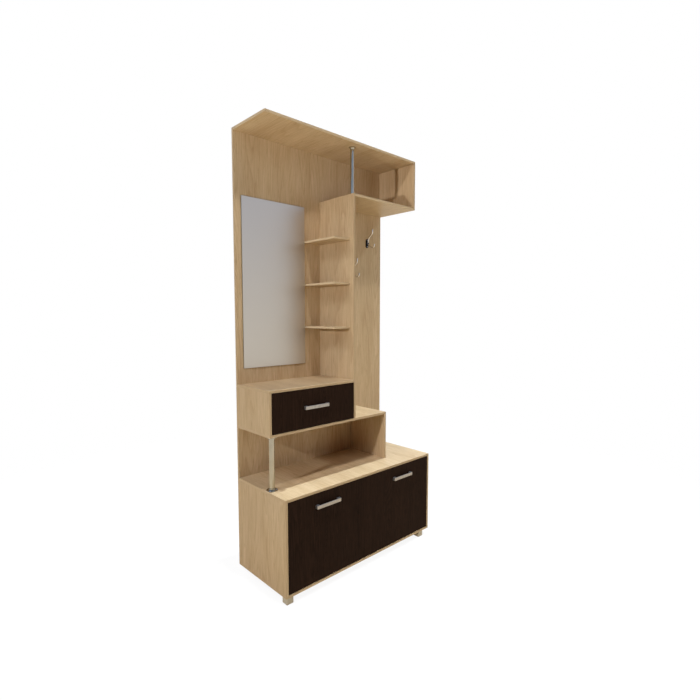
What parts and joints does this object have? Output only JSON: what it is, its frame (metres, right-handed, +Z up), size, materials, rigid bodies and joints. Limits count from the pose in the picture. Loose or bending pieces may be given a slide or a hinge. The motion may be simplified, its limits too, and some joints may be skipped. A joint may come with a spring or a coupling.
{
  "type": "hall tree",
  "caption": "Hall tree with a mirror, coat hooks, display shelves, hat box, drawer and a tip-out shoe base, in light oak and dark wenge laminate",
  "frame": {"origin": "on the floor under the middle of the hall tree's box", "axes": "+X to the viewer's right, +Y to the wall, +Z up; the front faces -Y"},
  "size_m": [1, 0.416, 2.164],
  "materials": {
    "oak_laminate": "light oak laminate",
    "wenge_laminate": "dark wenge laminate",
    "handle_metal": "satin",
    "chrome": "polished chrome plating",
    "hook_plate": "black",
    "mirror": "silvered glass",
    "foam_tape": "foam mounting tape",
    "foot_plastic": "moulded beige",
    "beech_dowel": "fluted beech",
    "zinc_steel": "zinc plated",
    "coated_steel": "white coating",
    "nylon": "natural nylon",
    "hardboard": "hardboard"
  },
  "bodies": {
    "carcass": {"back_board": "oak_laminate", "top_board": "oak_laminate", "base_bottom": "oak_laminate", "base_top": "oak_laminate", "base_left_side": "oak_laminate", "base_right_side": "oak_laminate", "niche_top_board": "oak_laminate", "niche_right_panel": "oak_laminate", "drawer_case_left_side": "oak_laminate", "drawer_case_right_side": "oak_laminate", "drawer_case_top": "oak_laminate", "divider_panel": "oak_laminate", "hat_shelf": "oak_laminate", "hat_box_side": "oak_laminate", "display_shelf_1": "oak_laminate", "display_shelf_2": "oak_laminate", "display_shelf_3": "oak_laminate", "mirror_glass": "mirror", "mirror_tape": "foam_tape", "lower_post_tube": "chrome", "lower_post_flanges": "chrome", "upper_post_tube": "chrome", "upper_post_flanges": "chrome", "coat_hook_plates": "hook_plate", "coat_hook_prongs": "chrome", "feet": "foot_plastic", "foot_screws": "zinc_steel", "carcass_dowels": "beech_dowel", "back_board_screws": "zinc_steel", "fitting_screws": "zinc_steel", "wall_brackets": "zinc_steel", "case_runner_left": "coated_steel", "case_runner_right": "coated_steel", "pivot_bushes": "nylon", "flap_stop_pins": "zinc_steel"},
    "drawer": {"drawer_front": "wenge_laminate", "drawer_left_side": "oak_laminate", "drawer_right_side": "oak_laminate", "drawer_back": "oak_laminate", "drawer_floor": "hardboard", "drawer_dowels": "beech_dowel", "drawer_handle": "handle_metal", "drawer_handle_screws": "zinc_steel", "drawer_runner_left": "coated_steel", "drawer_runner_right": "coated_steel", "drawer_runner_screws": "zinc_steel"},
    "shoe_flap": {"flap_front": "wenge_laminate", "flap_handle_left": "handle_metal", "flap_handle_right": "handle_metal", "flap_handle_screws": "zinc_steel", "flap_cheek_left": "coated_steel", "flap_cheek_right": "coated_steel", "shoe_tray_lower": "oak_laminate", "shoe_tray_upper": "oak_laminate", "flap_screws": "zinc_steel", "flap_pivot_pins": "zinc_steel"},
    "case_roller_left": {"case_roller_left": "nylon"},
    "case_roller_right": {"case_roller_right": "nylon"},
    "drawer_roller_left": {"drawer_roller_left": "nylon"},
    "drawer_roller_right": {"drawer_roller_right": "nylon"}
  },
  "joints": [
    {"name": "drawer_slide", "type": "slide", "parent": "carcass", "child": "drawer", "axis": [0, -1, 0], "range_m": [0, 0.17]},
    {"name": "flap_tilt", "type": "hinge", "parent": "carcass", "child": "shoe_flap", "pos_m": [0, -0.186, 0.051], "axis": [1, 0, 0], "range_deg": [0, 50]},
    {"name": "case_roller_left_spin", "type": "hinge", "parent": "carcass", "child": "case_roller_left", "pos_m": [-0.483, -0.05, 0.7562], "axis": [1, 0, 0], "range_deg": [0, 1309]},
    {"name": "drawer_roller_left_spin", "type": "hinge", "parent": "drawer", "child": "drawer_roller_left", "pos_m": [-0.483, 0.176, 0.752], "axis": [1, 0, 0], "range_deg": [0, 1309]},
    {"name": "case_roller_right_spin", "type": "hinge", "parent": "carcass", "child": "case_roller_right", "pos_m": [0.011, -0.05, 0.7562], "axis": [1, 0, 0], "range_deg": [0, 1309]},
    {"name": "drawer_roller_right_spin", "type": "hinge", "parent": "drawer", "child": "drawer_roller_right", "pos_m": [0.011, 0.176, 0.752], "axis": [1, 0, 0], "range_deg": [0, 1309]}
  ],
  "couplings": [
    {"joint": "case_roller_left_spin", "follows": "drawer_slide", "rad_per_m": 133.33},
    {"joint": "drawer_roller_left_spin", "follows": "drawer_slide", "rad_per_m": 133.33},
    {"joint": "case_roller_right_spin", "follows": "drawer_slide", "rad_per_m": 133.33},
    {"joint": "drawer_roller_right_spin", "follows": "drawer_slide", "rad_per_m": 133.33}
  ]
}
